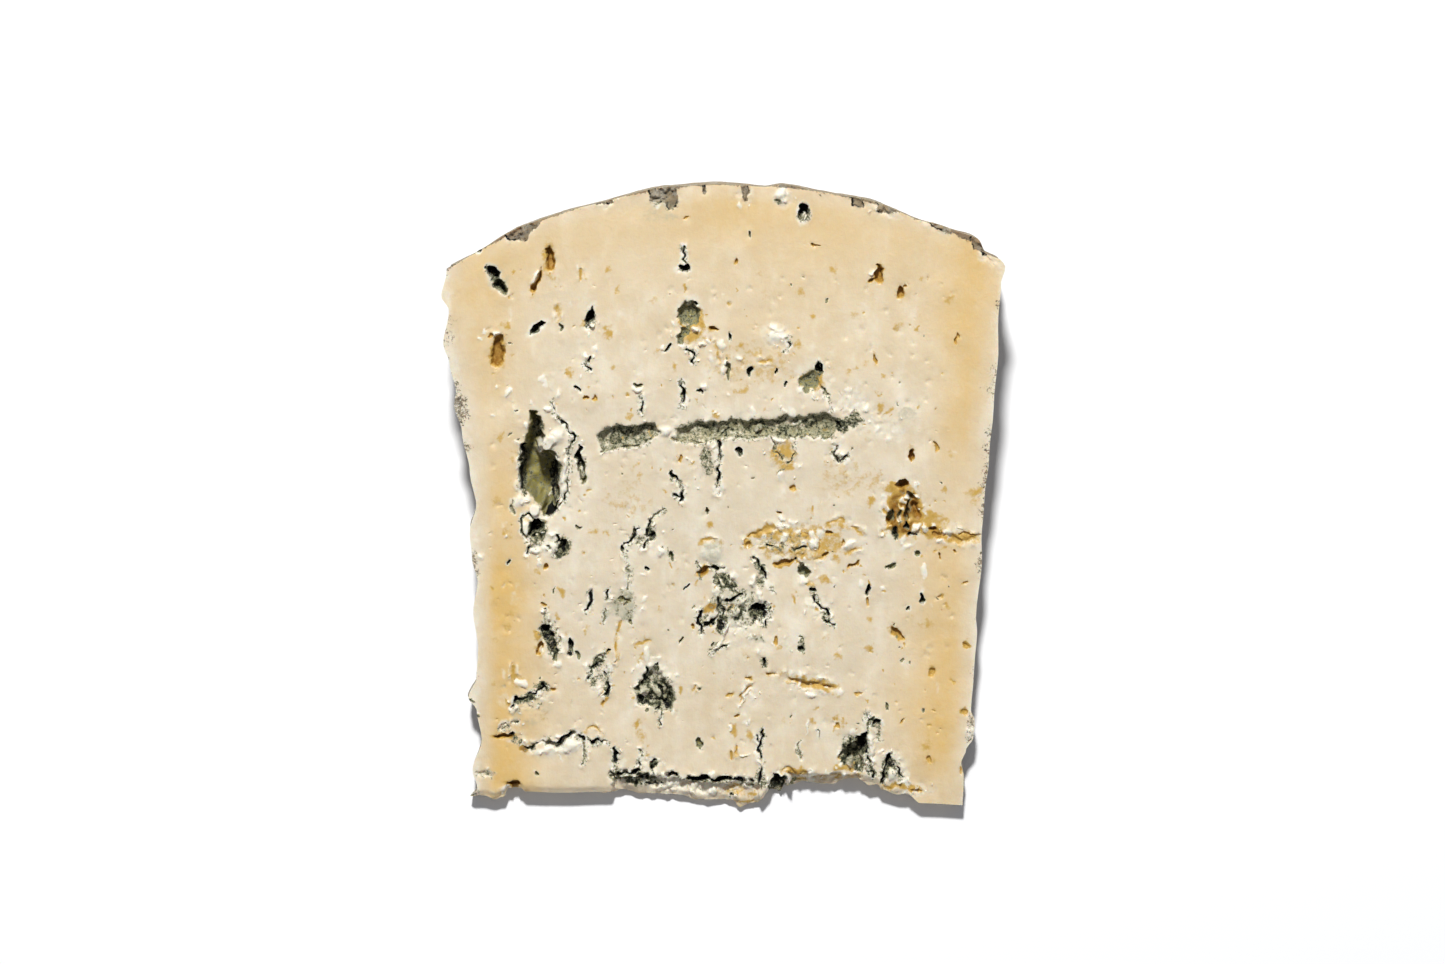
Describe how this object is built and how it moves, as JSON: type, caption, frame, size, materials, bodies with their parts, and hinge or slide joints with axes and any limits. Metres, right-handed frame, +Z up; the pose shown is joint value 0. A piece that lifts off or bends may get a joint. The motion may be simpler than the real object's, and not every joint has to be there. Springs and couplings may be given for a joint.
{
  "type": "blue cheese wedge",
  "caption": "Thin wedge cut from a wheel of blue cheese, lying on one cut face, with a bulging rind, a broken tip, a pierced channel, cracks and mouldy hollows.",
  "frame": {"origin": "centre of the bounding box in plan, on the table under the flat side it rests on", "axes": "+X along the axis of the wheel the wedge was cut from, +Y from the broken tip to the round rind, +Z up"},
  "size_m": [0.0824, 0.0928, 0.0216],
  "materials": {
    "ivory_paste": "moist ivory cheese paste, yellower towards the rind, with dark blue-green mould in its cracks and hollows"
  },
  "bodies": {
    "root": {"blue_cheese_wedge": "ivory_paste"}
  },
  "joints": []
}
